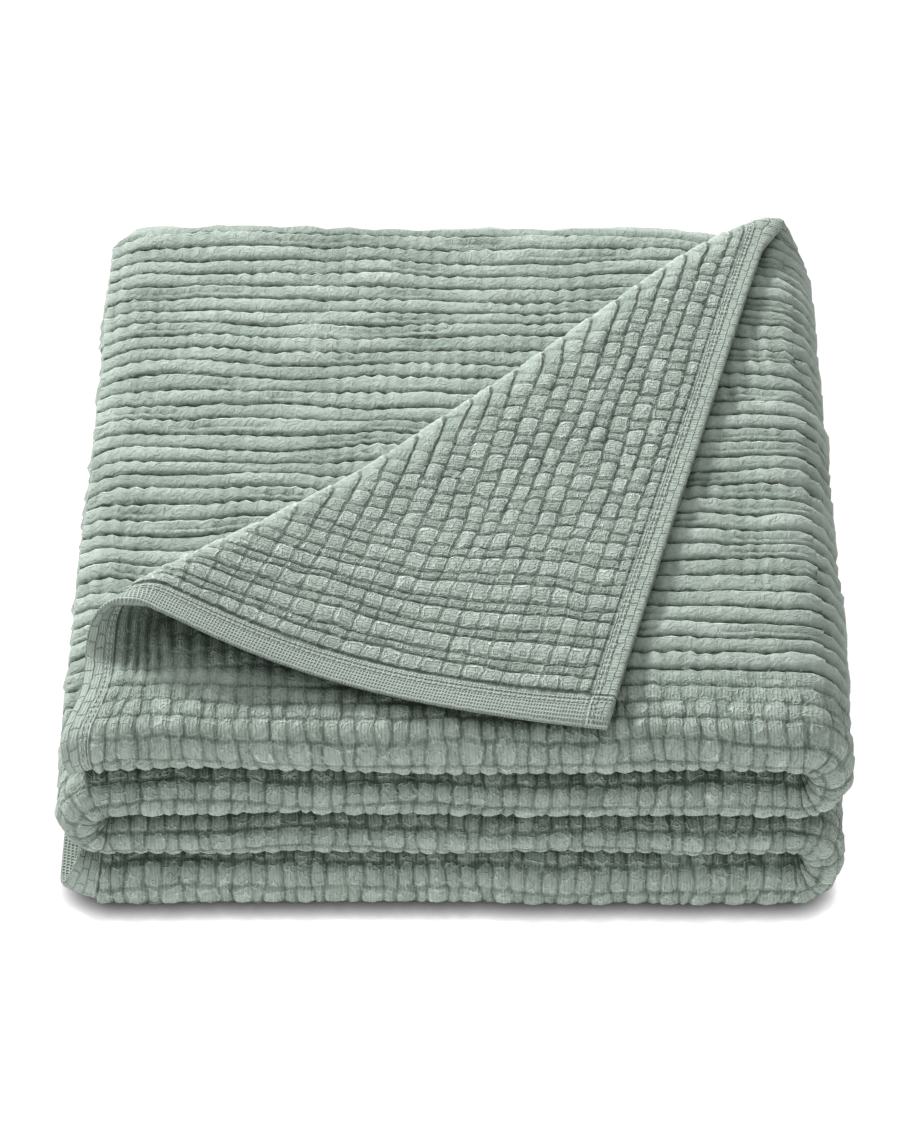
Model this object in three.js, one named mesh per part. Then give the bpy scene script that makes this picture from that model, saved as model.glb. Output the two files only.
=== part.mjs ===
// A cotton gauze throw, folded: one crinkled sheet folded in three from back to front,
// then back and forth in four from side to side, with one top corner turned over.
// Millimetres, +Z up, the front towards -Y, the origin under the middle of the stack.
import * as THREE from "three";

// The folded stack
const stackWidth = 446;
const stackDepth = 462;
const bandCount = 4;
const bandPitch = 39.5;
const layerPitch = 13.1;
const clothThickness = 7;
const turnNarrowing = 0.78;
const endBendAngle = 0.56;
const wrapAngle = Math.PI / 3;
const wrapEase = 36;

// The turned-over corner: where its fold line meets the back hem and the left end
const foldBackX = 220;
const foldLeftY = -200.5;
const rollRadiusLeft = 20;
const rollRadiusMiddle = 6.2;
const rollRadiusBack = 6.8;
const flapRestHeight = 12.4;
const flapSettleLength = 190;
const flapSkew = -0.32;
const flapReach = 0.815;
const hemPull = 18;
const hemPullPlace = 404;
const hemPullBack = 90;
const hemPullFront = 45;

// The raised crinkle
const ribPitch = 11.8;
const ribHeight = 3;
const ribFade = 8;
const hemWidth = 17;
const hemFlat = 3;

// Slow unevenness of the stack: waves, dips at the corners, and the looser and tighter bands by height
const slowWave = 1.6;
const cornerDip = 4;
const backRightDip = 19;
const footSpread = 4;
const sideSway = 1.5;
const frontSway = 2;
const layerSway = 1.2;
const bandSwells = [
  { from: 6, to: 36, rise: 7 },
  { from: 40, to: 76, rise: -5.5 },
  { from: 80, to: 112, rise: -2 },
];

// Mesh steps
const topColumns = 12;
const bandColumns = 2;
const turnColumns = 7;
const noseRows = 7;
const innerRows = 5;
const wrapRows = 3;
const rollRows = 7;
const coarseStep = 62;
const topEndShares = [0, 0.35, 0.7];
const topStartShare = 1.15;
const bottomEndShares = [0.6, 0.25, 0];
const backCornerLines = [21, 12, 3.5];
const leastStep = 3;
const normalStep = 0.05;

// Sizes of the three-layer bundle
const halfThick = clothThickness / 2;
const bundleHalf = layerPitch + halfThick;
const frontY = -stackDepth / 2 + bundleHalf;
const innerRadius = layerPitch / 2;
const wrapRadius = layerPitch + innerRadius;
const backY = stackDepth / 2 - wrapRadius - halfThick;

// Lengths across the sheet, from its free back hem to the hem inside the bundle
const wrapLength = wrapRadius * wrapAngle;
const flatLength = backY - frontY;
const noseStart = wrapLength + flatLength;
const noseEnd = noseStart + Math.PI * layerPitch;
const backStart = noseEnd + flatLength;
const backEnd = backStart + Math.PI * innerRadius;
const sheetWidth = backEnd + flatLength - layerPitch;
const hemY = backY + wrapLength;

// Lengths along the sheet, from its end in the top band to its end in the bottom band
const turnRadius = bandPitch / 2;
const turnReach = turnNarrowing * (turnRadius + bundleHalf);
const straightHalf = stackWidth / 2 - turnReach;
const topCentre = (bandCount - 1) * bandPitch + bundleHalf;
const endCentre = topCentre - 1.5 * bandPitch;
const endRadius = 1.5 * bandPitch * (1 + turnNarrowing) / 2;
const endLength = endBendAngle * endRadius;
const turnLength = Math.PI * turnRadius;
const bands = [];
let bandStart = 0;
for (let i = 0; i < bandCount; i++) {
  const outer = i === 0 || i === bandCount - 1 ? endLength : 0;
  bands.push({ from: bandStart, to: bandStart + outer + 2 * straightHalf });
  bandStart = bands[i].to + turnLength;
}
const sheetLength = bands[bandCount - 1].to;

function smooth(from, to, value) {
  const f = Math.min(1, Math.max(0, (value - from) / (to - from)));
  return f * f * (3 - 2 * f);
}

// Depth and height of a point across the sheet, in the bundle that the three layers make
function letterFold(t, wrap) {
  if (t < wrapLength) {
    const bent = (wrapLength - t) * wrap;
    const angle = bent / wrapRadius;
    return {
      y: backY + wrapLength - t - bent + wrapRadius * Math.sin(angle),
      height: wrapRadius * Math.cos(angle) - innerRadius,
    };
  }
  if (t < noseStart) return { y: hemY - t, height: layerPitch };
  if (t < noseEnd) {
    const angle = (t - noseStart) / layerPitch;
    return { y: frontY - layerPitch * Math.sin(angle), height: layerPitch * Math.cos(angle) };
  }
  if (t < backStart) return { y: frontY + t - noseEnd, height: -layerPitch };
  if (t < backEnd) {
    const angle = (t - backStart) / innerRadius;
    return {
      y: backY + innerRadius * Math.sin(angle),
      height: -innerRadius - innerRadius * Math.cos(angle),
    };
  }
  return { y: backY - (t - backEnd), height: 0 };
}

// The top and bottom ends bend round the left turn between the two middle bands
function bentEnd(past, height, up) {
  const angle = past / endRadius;
  const radius = 1.5 * bandPitch + height;
  return {
    x: -straightHalf - turnNarrowing * radius * Math.sin(angle),
    z: endCentre + up * radius * Math.cos(angle),
  };
}

// Side-to-side fold: the place of a point at a length along the sheet and a height in the bundle
function sideFold(s, height) {
  for (let i = 0; i < bandCount; i++) {
    const heading = i % 2 ? -1 : 1;
    if (s < bands[i].from) {
      const angle = (s - bands[i - 1].to) / turnRadius;
      const radius = turnRadius - heading * height;
      return {
        x: -heading * (straightHalf + turnNarrowing * radius * Math.sin(angle)),
        z: topCentre - (i - 0.5) * bandPitch + radius * Math.cos(angle),
      };
    }
    if (s <= bands[i].to || i === bandCount - 1) {
      const x = i === 0 ? s - bands[0].to + straightHalf : heading * (s - bands[i].from - straightHalf);
      const bent = x < -straightHalf && (i === 0 || i === bandCount - 1);
      if (bent) return bentEnd(-straightHalf - x, height, i === 0 ? 1 : -1);
      return { x, z: topCentre - i * bandPitch + heading * height };
    }
  }
  return null;
}

// The fold line of the turned-over corner, in the flat top layer
const leftX = -straightHalf - endLength;
const foldReach = foldBackX - leftX;
const lineLength = Math.hypot(foldReach, hemY - foldLeftY);
const lineX = foldReach / lineLength;
const lineY = (hemY - foldLeftY) / lineLength;

function rollRadius(v) {
  const left = (rollRadiusLeft - rollRadiusMiddle) * (1 - smooth(0, 0.45, v));
  const back = (rollRadiusBack - rollRadiusMiddle) * smooth(0.6, 1, v);
  return rollRadiusMiddle + left + back;
}

// Distance past the fold line, and the share of its length, of a flat point of the top layer
function pastLine(x, y) {
  return {
    u: (y - foldLeftY) * lineX - (x - leftX) * lineY,
    v: ((x - leftX) * lineX + (y - foldLeftY) * lineY) / lineLength,
  };
}

// The left end hem is drawn in where it goes up over the roll, and less and less round the front
function drawnIn(s, t) {
  const past = t - hemPullPlace;
  const near = Math.exp(-((past / (past > 0 ? hemPullFront : hemPullBack)) ** 2));
  return s + hemPull * near * (1 - smooth(0, 4 * hemPull, s));
}

function turnOver(x, y) {
  const { u, v } = pastLine(x, y);
  if (u <= 0) return { x, y, lift: 0 };
  const radius = rollRadius(v);
  const angle = u / radius;
  let back = radius * Math.sin(angle);
  let lift = radius * (1 - Math.cos(angle));
  let slide = 0;
  if (angle > Math.PI) {
    const past = u - Math.PI * radius;
    const settled = smooth(0, flapSettleLength, past);
    back = -flapReach * past;
    slide = flapSkew * past;
    lift = 2 * radius + (flapRestHeight - 2 * radius) * settled;
  }
  const length = v * lineLength + slide;
  return {
    x: leftX + lineX * length - lineY * back,
    y: foldLeftY + lineY * length + lineX * back,
    lift,
  };
}

// Slow unevenness of the whole stack, none at the floor
function settle(x, y, z) {
  const share = Math.max(0, z - clothThickness) / (bandCount * bandPitch);
  const corner = smooth(150, 215, Math.abs(x)) * smooth(120, 205, Math.abs(y));
  const wave = slowWave * Math.sin(x / 83 + 1) * Math.cos(y / 118) - cornerDip * corner;
  const backRight = backRightDip * smooth(80, 245, x) * smooth(60, 245, y);
  const spread = footSpread * Math.sign(x) * smooth(150, 225, Math.abs(x)) * (1 - smooth(0, 70, z));
  const swollen = bandSwells.reduce((sum, { from, to, rise }) => sum + rise * smooth(from, to, z), 0);
  return new THREE.Vector3(
    x + spread + share * (sideSway * Math.sin(y / 90 + 0.6) + layerSway * Math.sin(z / 15)),
    y + share * (frontSway * Math.sin(x / 74 + z / 31) + layerSway * Math.sin(z / 19)),
    z + swollen + share * (wave - backRight),
  );
}

// Middle of the cloth at s along and t across the sheet
function middle(s, t) {
  const x = s - bands[0].to + straightHalf;
  const wrap = smooth(foldReach, foldReach + wrapEase, s);
  const { y, height } = letterFold(t, wrap);
  const onTop = s <= foldReach && t < noseStart;
  const turned = onTop && pastLine(x, y).u > 0;
  const pulled = drawnIn(s, t);
  if (!turned) {
    const at = sideFold(pulled, height);
    return settle(at.x, y, at.z);
  }
  const over = turnOver(x + pulled - s, y);
  const outwards = over.x > straightHalf ? over.lift : 0;
  const at = sideFold(bands[0].to - straightHalf + over.x, layerPitch + outwards);
  if (over.y > frontY) return settle(at.x, over.y, at.z + over.lift - outwards);
  const rise = layerPitch + over.lift;
  const droop = (frontY - over.y) / rise;
  return settle(at.x, frontY - rise * Math.sin(droop), at.z - layerPitch + rise * Math.cos(droop));
}

// Direction out of the face that is up in the top layer
function faceNormal(s, t) {
  const nextS = Math.min(sheetLength, s + normalStep);
  const nextT = Math.min(sheetWidth, t + normalStep);
  const lengthwise = middle(nextS, t).sub(middle(Math.max(0, s - normalStep), t));
  const crosswise = middle(s, nextT).sub(middle(s, Math.max(0, t - normalStep)));
  return crosswise.cross(lengthwise).normalize();
}

// Raised ribs: on the top layer and the layer bared beside it on the upper face,
// and on the turned-over corner on the lower face
function ribRelief(s, t, side) {
  const x = s - bands[0].to + straightHalf;
  const row = 0.5 - 0.5 * Math.cos((2 * Math.PI * t) / ribPitch);
  const uneven = 0.72 + 0.28 * Math.sin(s / 37 + 2.3 * Math.sin(t / 19));
  const inTop = 1 - smooth(bands[1].from - 3 * ribFade, bands[1].from - ribFade, s);
  let shown = 0;
  if (t < noseStart) {
    const { u, v } = pastLine(x, hemY - t);
    const turned = smooth(0, ribFade, u - Math.PI * rollRadius(v)) * smooth(hemFlat, hemWidth, t);
    shown = side > 0 ? 1 - smooth(-6 * ribFade, -3 * ribFade, u) : turned;
    if (x > foldBackX && side > 0) shown = 1;
  } else if (t > backEnd && side > 0) {
    shown = smooth(0, 2 * ribFade, pastLine(x, backY - (t - backEnd)).u);
  }
  return ribHeight * row * uneven * inTop * shown * smooth(hemFlat, hemWidth, s);
}

function surfacePoint(s, t, side) {
  const reach = side * (halfThick + ribRelief(s, t, side));
  return middle(s, t).addScaledVector(faceNormal(s, t), reach);
}

// Steps from one length to another, every multiple of half a rib or a few even ones
function ribSteps(from, to) {
  const steps = [from];
  const half = ribPitch / 2;
  const least = 0.35;
  for (let k = Math.ceil(from / half + least); k < to / half - least; k++) steps.push(k * half);
  if (to > from) steps.push(to);
  return steps;
}

function evenSteps(from, to, count) {
  if (to <= from) return [from];
  return Array.from({ length: count + 1 }, (_, k) => from + ((to - from) * k) / count);
}

function coarseSteps(from, to) {
  return evenSteps(from, to, Math.max(1, Math.round((to - from) / coarseStep)));
}

// The stretches of one line across the sheet, each with its own steps
function lineStretches(s, side) {
  const x = s - bands[0].to + straightHalf;
  const ribbed = s < bands[1].from;
  const upper = side > 0;
  let lineT = 0;
  let rolledT = 0;
  if (x < foldBackX) {
    lineT = ((foldBackX - x) * (hemY - foldLeftY)) / foldReach;
    let high = lineT;
    while (high - rolledT > 0.01) {
      const half = (rolledT + high) / 2;
      const { u, v } = pastLine(x, hemY - half);
      if (u > Math.PI * rollRadius(v)) rolledT = half;
      else high = half;
    }
    if (rolledT < 0.5) rolledT = 0;
  }
  const flap = upper || !ribbed ? coarseSteps(0, rolledT) : ribSteps(0, rolledT);
  const wrapped = s > foldReach ? wrapLength : 0;
  const wrapSteps = wrapped > lineT ? evenSteps(lineT, wrapped, wrapRows) : [lineT];
  const flatStart = Math.max(lineT, wrapped);
  const bared = Math.max(backEnd, Math.min(sheetWidth - 1, backEnd + lineT - wrapLength + 4));
  const bareRibs = upper && s < bands[0].to && bared > backEnd + ribPitch;
  return [
    flap,
    evenSteps(rolledT, lineT, rollRows),
    wrapSteps,
    upper && ribbed ? ribSteps(flatStart, noseStart) : coarseSteps(flatStart, noseStart),
    evenSteps(noseStart, noseEnd, noseRows),
    coarseSteps(noseEnd, backStart),
    evenSteps(backStart, backEnd, innerRows),
    bareRibs ? ribSteps(backEnd, bared) : [backEnd],
    coarseSteps(bareRibs ? bared : backEnd, sheetWidth),
  ];
}

// The lengths along the sheet that get a line
function lineLengths() {
  const lengths = backCornerLines.map((short) => foldReach - short);
  for (let i = 0; i < bandCount; i++) {
    const inside = i === 0 ? topColumns : bandColumns;
    const { from, to } = bands[i];
    const topEnd = i === 0 ? topEndShares.map((share) => from + share * endLength) : [];
    const start = i === 0 ? from + topStartShare * endLength : from;
    const stop = i === bandCount - 1 ? to - endLength : to;
    lengths.push(...topEnd, ...evenSteps(start, stop, inside));
    if (i === bandCount - 1) lengths.push(...bottomEndShares.map((share) => to - share * endLength));
    else lengths.push(...evenSteps(to, to + turnLength, turnColumns).slice(1, -1));
  }
  lengths.sort((a, b) => a - b);
  return lengths.filter((s, k) => k === 0 || s - lengths[k - 1] > leastStep);
}

// One closed skin: two faces, the two long hems and the two ends
function clothGeometry() {
  const points = [];
  const triangles = [];

  function addLine(s, side) {
    const stretches = [];
    let last = null;
    for (const steps of lineStretches(s, side)) {
      const ids = last === null ? [] : [last];
      for (const t of last === null ? steps : steps.slice(1)) {
        points.push(surfacePoint(s, t, side));
        ids.push(points.length - 1);
      }
      last = ids[ids.length - 1];
      stretches.push({ ids, steps });
    }
    return stretches;
  }

  // Fills the strip between two lines, taking the nearer next step each time
  function zip(a, b, flip) {
    for (let k = 0; k < a.length; k++) {
      const p = a[k];
      const q = b[k];
      let i = 0;
      let j = 0;
      while (i < p.ids.length - 1 || j < q.ids.length - 1) {
        const even = p.ids.length === q.ids.length;
        const nextP = i < p.ids.length - 1 ? (even ? i : p.steps[i + 1]) : Infinity;
        const nextQ = j < q.ids.length - 1 ? (even ? j : q.steps[j + 1]) : Infinity;
        const onP = nextP <= nextQ;
        const third = onP ? p.ids[i + 1] : q.ids[j + 1];
        const corners = [p.ids[i], q.ids[j], third];
        triangles.push(...(flip ? corners.reverse() : corners));
        if (onP) i++;
        else j++;
      }
    }
  }

  const lines = lineLengths().map((s) => ({ up: addLine(s, 1), down: addLine(s, -1) }));
  for (let i = 0; i < lines.length - 1; i++) {
    const here = lines[i];
    const next = lines[i + 1];
    zip(here.up, next.up, true);
    zip(here.down, next.down, false);
    const first = [here.up, next.up, next.down, here.down].map((line) => line[0].ids[0]);
    const last = [here.up, next.up, next.down, here.down].map((line) => line.at(-1).ids.at(-1));
    triangles.push(first[0], first[1], first[2], first[0], first[2], first[3]);
    triangles.push(last[0], last[2], last[1], last[0], last[3], last[2]);
  }
  zip(lines[0].up, lines[0].down, false);
  zip(lines.at(-1).up, lines.at(-1).down, true);

  const geometry = new THREE.BufferGeometry();
  geometry.setAttribute("position", new THREE.Float32BufferAttribute(points.flatMap((p) => p.toArray()), 3));
  geometry.setIndex(triangles);
  geometry.computeVertexNormals();
  return geometry;
}

const gauze = new THREE.MeshStandardMaterial({ color: 0x8fa396, roughness: 0.95, metalness: 0 });
const cloth = new THREE.Mesh(clothGeometry(), gauze);
cloth.name = "throw_cloth";
const throwGroup = new THREE.Group();
throwGroup.add(cloth);

export default throwGroup;
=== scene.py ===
import math
from functools import partial
import bpy
import numpy as np
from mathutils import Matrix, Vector


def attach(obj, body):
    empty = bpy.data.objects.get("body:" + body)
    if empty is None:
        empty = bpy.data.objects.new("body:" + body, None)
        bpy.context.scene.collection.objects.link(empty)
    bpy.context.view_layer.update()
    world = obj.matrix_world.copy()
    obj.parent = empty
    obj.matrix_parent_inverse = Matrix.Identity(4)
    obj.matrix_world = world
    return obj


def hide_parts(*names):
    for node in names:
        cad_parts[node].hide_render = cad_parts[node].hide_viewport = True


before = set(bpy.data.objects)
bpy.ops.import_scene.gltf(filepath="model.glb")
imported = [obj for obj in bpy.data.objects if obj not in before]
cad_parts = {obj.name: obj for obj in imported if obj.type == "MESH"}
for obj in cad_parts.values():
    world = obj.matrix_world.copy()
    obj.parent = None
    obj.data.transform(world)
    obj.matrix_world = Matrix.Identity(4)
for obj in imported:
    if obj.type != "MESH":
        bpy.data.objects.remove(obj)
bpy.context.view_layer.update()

# The fold: in three from back to front, then back and forth in four, one top corner turned over
throwFold = {
    "stackWidth": 0.446,
    "stackDepth": 0.462,
    "bandCount": 4,
    "bandPitch": 0.0395,
    "layerPitch": 0.0131,
    "solidThickness": 0.0070,
    "turnNarrowing": 0.78,
    "endBendAngle": 0.56,
    "wrapAngle": math.pi / 3,
    "wrapEase": 0.036,
    "foldBackX": 0.220,
    "foldLeftY": -0.2005,
    "rollRadiusLeft": 0.020,
    "rollRadiusMiddle": 0.0062,
    "rollRadiusBack": 0.0068,
    "rollLeftPart": (0, 0.45),
    "rollBackPart": (0.6, 1),
    "flapRestHeight": 0.0124,
    "flapSettleLength": 0.190,
    "flapSkew": -0.32,
    "flapReach": 0.815,
    "hemPull": 0.018,
    "hemPullPlace": 0.404,
    "hemPullBack": 0.090,
    "hemPullFront": 0.045,
    "hemPullLength": 4,  # times the pull
}

stackWidth = throwFold["stackWidth"]
stackDepth = throwFold["stackDepth"]
bandCount = throwFold["bandCount"]
bandPitch = throwFold["bandPitch"]
layerPitch = throwFold["layerPitch"]
turnNarrowing = throwFold["turnNarrowing"]
bundleHalf = layerPitch + throwFold["solidThickness"] / 2
frontY = -stackDepth / 2 + bundleHalf
innerRadius = layerPitch / 2
wrapRadius = layerPitch + innerRadius
backY = stackDepth / 2 - wrapRadius - throwFold["solidThickness"] / 2

# Lengths across the sheet, t, from the free back hem to the hem inside the bundle
wrapLength = wrapRadius * throwFold["wrapAngle"]
flatLength = backY - frontY
noseStart = wrapLength + flatLength
noseEnd = noseStart + math.pi * layerPitch
backStart = noseEnd + flatLength
backEnd = backStart + math.pi * innerRadius
sheetWidth = backEnd + flatLength - layerPitch
hemY = backY + wrapLength

# Lengths along the sheet, s, from its end in the top band to its end in the bottom band
turnRadius = bandPitch / 2
straightHalf = stackWidth / 2 - turnNarrowing * (turnRadius + bundleHalf)
topCentre = (bandCount - 1) * bandPitch + bundleHalf
outerBend = (bandCount - 1) / 2 * bandPitch
endCentre = topCentre - outerBend
endRadius = outerBend * (1 + turnNarrowing) / 2
endLength = throwFold["endBendAngle"] * endRadius
turnLength = math.pi * turnRadius
bandFrom, bandTo = [], []
for band in range(bandCount):
    outer = endLength if band in (0, bandCount - 1) else 0
    bandFrom.append(bandTo[-1] + turnLength if band else 0.0)
    bandTo.append(bandFrom[-1] + outer + 2 * straightHalf)
sheetLength = bandTo[-1]
topLength = bandTo[0]


# Rises softly from 0 to 1 between start and end, or falls where end comes first
def smooth(start, end, value):
    f = np.clip((value - start) / (end - start), 0, 1)
    return f * f * (3 - 2 * f)


# In three from back to front; the free back hem can wrap down round the back of the bundle
def letterFold(t, wrap):
    bent = (wrapLength - t) * wrap
    wrapTurn = bent / wrapRadius
    noseTurn = (t - noseStart) / layerPitch
    backTurn = (t - backStart) / innerRadius
    stretch = [t < wrapLength, t < noseStart, t < noseEnd, t < backStart, t < backEnd]
    flat = np.zeros_like(t)
    y = np.select(stretch, [
        backY + wrapLength - t - bent + wrapRadius * np.sin(wrapTurn),
        hemY - t,
        frontY - layerPitch * np.sin(noseTurn),
        frontY + t - noseEnd,
        backY + innerRadius * np.sin(backTurn),
    ], backY - (t - backEnd))
    height = np.select(stretch, [
        wrapRadius * np.cos(wrapTurn) - innerRadius,
        flat + layerPitch,
        layerPitch * np.cos(noseTurn),
        flat - layerPitch,
        -innerRadius - innerRadius * np.cos(backTurn),
    ], flat)
    return y, height


# Back and forth from side to side; the two outer ends bend round the left turn between them
def sideFold(s, height):
    x = np.zeros_like(s)
    z = np.zeros_like(s)
    last = bandCount - 1
    for band in range(bandCount):
        heading = -1 if band % 2 else 1
        if band:
            turning = (s > bandTo[band - 1]) & (s < bandFrom[band])
            angle = (s - bandTo[band - 1]) / turnRadius
            radius = turnRadius - heading * height
            x = np.where(turning, -heading * (straightHalf + turnNarrowing * radius * np.sin(angle)), x)
            z = np.where(turning, topCentre - (band - 0.5) * bandPitch + radius * np.cos(angle), z)
        inBand = (s >= bandFrom[band]) & (s <= (bandTo[band] if band < last else math.inf))
        along = heading * (s - bandFrom[band] - straightHalf) if band else s - topLength + straightHalf
        x = np.where(inBand, along, x)
        z = np.where(inBand, topCentre - band * bandPitch + heading * height, z)
        if band in (0, last):
            bent = inBand & (along < -straightHalf)
            angle = (-straightHalf - along) / endRadius
            radius = outerBend + height
            x = np.where(bent, -straightHalf - turnNarrowing * radius * np.sin(angle), x)
            z = np.where(bent, endCentre + (-1 if band else 1) * radius * np.cos(angle), z)
    return x, z


# The line that the corner is turned over, from the left end at the front to the back hem on the right
leftX = -straightHalf - endLength
foldBackX = throwFold["foldBackX"]
foldLeftY = throwFold["foldLeftY"]
foldReach = foldBackX - leftX  # how far along the sheet its top layer is flat enough to be turned over
lineLength = math.hypot(foldBackX - leftX, hemY - foldLeftY)
lineX = (foldBackX - leftX) / lineLength
lineY = (hemY - foldLeftY) / lineLength


# How far past the line a point of the flat top layer is, and where along it from 0 to 1
def pastLine(x, y):
    u = (y - foldLeftY) * lineX - (x - leftX) * lineY
    v = ((x - leftX) * lineX + (y - foldLeftY) * lineY) / lineLength
    return u, v


def rollRadius(v):
    middleRadius = throwFold["rollRadiusMiddle"]
    left = (throwFold["rollRadiusLeft"] - middleRadius) * (1 - smooth(*throwFold["rollLeftPart"], v))
    back = (throwFold["rollRadiusBack"] - middleRadius) * smooth(*throwFold["rollBackPart"], v)
    return middleRadius + left + back


# The end hem is drawn in where it runs from the flap onto the front fold
def drawnIn(s, t):
    pull = throwFold["hemPull"]
    past = t - throwFold["hemPullPlace"]
    near = np.exp(-((past / np.where(past > 0, throwFold["hemPullFront"], throwFold["hemPullBack"])) ** 2))
    return s + pull * near * (1 - smooth(0, throwFold["hemPullLength"] * pull, s))


# The turned-over corner: a roll along the line, then a flap that comes to rest on the top layer
def turnOver(x, y):
    u, v = pastLine(x, y)
    radius = rollRadius(v)
    angle = u / radius
    past = np.maximum(0, u - math.pi * radius)
    settled = smooth(0, throwFold["flapSettleLength"], past)
    over = angle > math.pi
    back = np.where(over, -throwFold["flapReach"] * past, radius * np.sin(angle))
    back = np.where(u < 0, u, back)
    rest = 2 * radius + (throwFold["flapRestHeight"] - 2 * radius) * settled
    lift = np.where(over, rest, radius * (1 - np.cos(np.maximum(0, angle))))
    length = v * lineLength + throwFold["flapSkew"] * past
    return leftX + lineX * length - lineY * back, foldLeftY + lineY * length + lineX * back, lift


# Slow unevenness of the stack, none at the floor: how large it is, the lengths of its waves, and where
# each dip or spread starts and is full
stackSettle = {
    "slowWave": 0.0016,
    "slowWaveX": 0.083,
    "slowWaveY": 0.118,
    "cornerDip": 0.004,
    "cornerX": (0.150, 0.215),
    "cornerY": (0.120, 0.205),
    "backRightDip": 0.019,
    "backRightX": (0.080, 0.245),
    "backRightY": (0.060, 0.245),
    "footSpread": 0.004,
    "footX": (0.150, 0.225),
    "footHeight": (0, 0.070),
    "sideSway": 0.0015,
    "sideSwayY": 0.090,
    "frontSway": 0.002,
    "frontSwayX": 0.074,
    "frontSwayZ": 0.031,
    "layerSway": 0.0012,
    "layerWaves": (0.015, 0.019),
    "bandSwells": [(0.006, 0.036, 0.007), (0.040, 0.076, -0.0055), (0.080, 0.112, -0.002)],
}


def settle(x, y, z):
    share = np.maximum(0, z - throwFold["solidThickness"]) / (bandCount * bandPitch)
    slow = stackSettle["slowWave"] * np.sin(x / stackSettle["slowWaveX"] + 1)
    slow = slow * np.cos(y / stackSettle["slowWaveY"])
    corner = smooth(*stackSettle["cornerX"], np.abs(x)) * smooth(*stackSettle["cornerY"], np.abs(y))
    backRight = smooth(*stackSettle["backRightX"], x) * smooth(*stackSettle["backRightY"], y)
    dip = stackSettle["cornerDip"] * corner + stackSettle["backRightDip"] * backRight
    swollen = sum(rise * smooth(start, end, z) for start, end, rise in stackSettle["bandSwells"])
    sideLayers, frontLayers = (
        stackSettle["layerSway"] * np.sin(z / wave) for wave in stackSettle["layerWaves"])
    sideways = stackSettle["sideSway"] * np.sin(y / stackSettle["sideSwayY"] + 0.6) + sideLayers
    leaning = x / stackSettle["frontSwayX"] + z / stackSettle["frontSwayZ"]
    forward = stackSettle["frontSway"] * np.sin(leaning) + frontLayers
    foot = smooth(*stackSettle["footX"], np.abs(x)) * (1 - smooth(*stackSettle["footHeight"], z))
    settledX = x + stackSettle["footSpread"] * np.sign(x) * foot + share * sideways
    return np.stack([settledX, y + share * forward, z + swollen + share * (slow - dip)], axis=-1)


# Middle of the cloth at s along and t across the sheet
def clothMiddle(s, t):
    x = s - topLength + straightHalf
    y, height = letterFold(t, smooth(foldReach, foldReach + throwFold["wrapEase"], s))
    onTop = (s <= foldReach) & (t < noseStart)
    turned = onTop & (pastLine(x, y)[0] > 0)
    pulled = drawnIn(s, t)
    flatX, flatZ = sideFold(pulled, height)
    overX, overY, lift = turnOver(x + pulled - s, y)
    outwards = np.where(overX > straightHalf, lift, 0)
    underX, underZ = sideFold(topLength - straightHalf + overX, layerPitch + outwards)
    rise = layerPitch + lift
    droop = np.maximum(0, frontY - overY) / rise  # the flap's tip hangs round the front fold
    overZ = np.where(overY > frontY, underZ + lift - outwards, underZ - layerPitch + rise * np.cos(droop))
    overY = np.where(overY > frontY, overY, frontY - rise * np.sin(droop))
    return settle(np.where(turned, underX, flatX), np.where(turned, overY, y), np.where(turned, overZ, flatZ))


def clothNormal(s, t):
    step = 0.00005
    along = clothMiddle(np.minimum(sheetLength, s + step), t) - clothMiddle(np.maximum(0, s - step), t)
    across = clothMiddle(s, np.minimum(sheetWidth, t + step)) - clothMiddle(s, np.maximum(0, t - step))
    normal = np.cross(across, along)
    return normal / np.maximum(1e-12, np.linalg.norm(normal, axis=-1, keepdims=True))


# Smooth noise from 0 to 1 on a lattice, the same every run
def softNoise(a, b, seed):
    size = 256
    table = np.random.default_rng(seed).random((size, size))
    i, j = np.floor(a).astype(int), np.floor(b).astype(int)
    u, v = smooth(0, 1, a - i), smooth(0, 1, b - j)
    near = table[i % size, j % size] * (1 - u) + table[(i + 1) % size, j % size] * u
    far = table[i % size, (j + 1) % size] * (1 - u) + table[(i + 1) % size, (j + 1) % size] * u
    return near * (1 - v) + far * v


# Noise in a coarse and a fine size, centred on 0
def twoNoises(a, b, coarse, fine, fineShare, seed):
    coarseNoise = softNoise(a / coarse[0], b / coarse[1], seed)
    fineNoise = softNoise(a / fine[0], b / fine[1], seed + 1)
    return coarseNoise + fineShare * fineNoise - (1 + fineShare) / 2


# Crinkle of the gauze: ribs along the sheet, pinched into beads, and cells where ribs and beads cross.
# Side 1 is the upper face, and side -1 the lower one that the turned-over corner shows
gauzeCrinkle = {
    "halfThickness": 0.0022,
    "ribCount": {1: 112, -1: 92},
    "beadCount": 189,
    "ribHeight": 0.0046,
    "cellHeight": {1: 0.0027, -1: 0.0022},
    "lumpHeight": 0.0010,
    "lumps": {"coarse": (0.0055, 0.0042), "fine": (0.0028, 0.0024), "fineShare": 0.6, "seed": 28},
    "swellHeight": 0.0012,
    "swellLengths": (0.045, 0.055),
    "wanderAcross": 0.0078,
    "across": {"coarse": (0.058, 0.033), "fine": (0.016, 0.018), "fineShare": 0.3, "seed": 11},
    "wanderAlong": 0.0042,
    "along": {"coarse": (0.030, 0.034), "fine": (0.014, 0.012), "fineShare": 0.5, "seed": 13},
    "cellSteadiness": 0.35,
    "tallShift": 0.0016,
    "tallShiftEase": 0.12,
    "outlined": {1: 0.60, -1: 1.0},
    # A painted highlight line along the crest of the turned-over roll: its strength, its place in turns of
    # the roll, and its width
    "paintedFoldHighlight": 1.3,
    "paintedFoldHighlightTurn": 2.45,
    "paintedFoldHighlightWidth": 0.24,
}
ribPitch = {side: sheetWidth / count for side, count in gauzeCrinkle["ribCount"].items()}
beadPitch = sheetLength / gauzeCrinkle["beadCount"]

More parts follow.
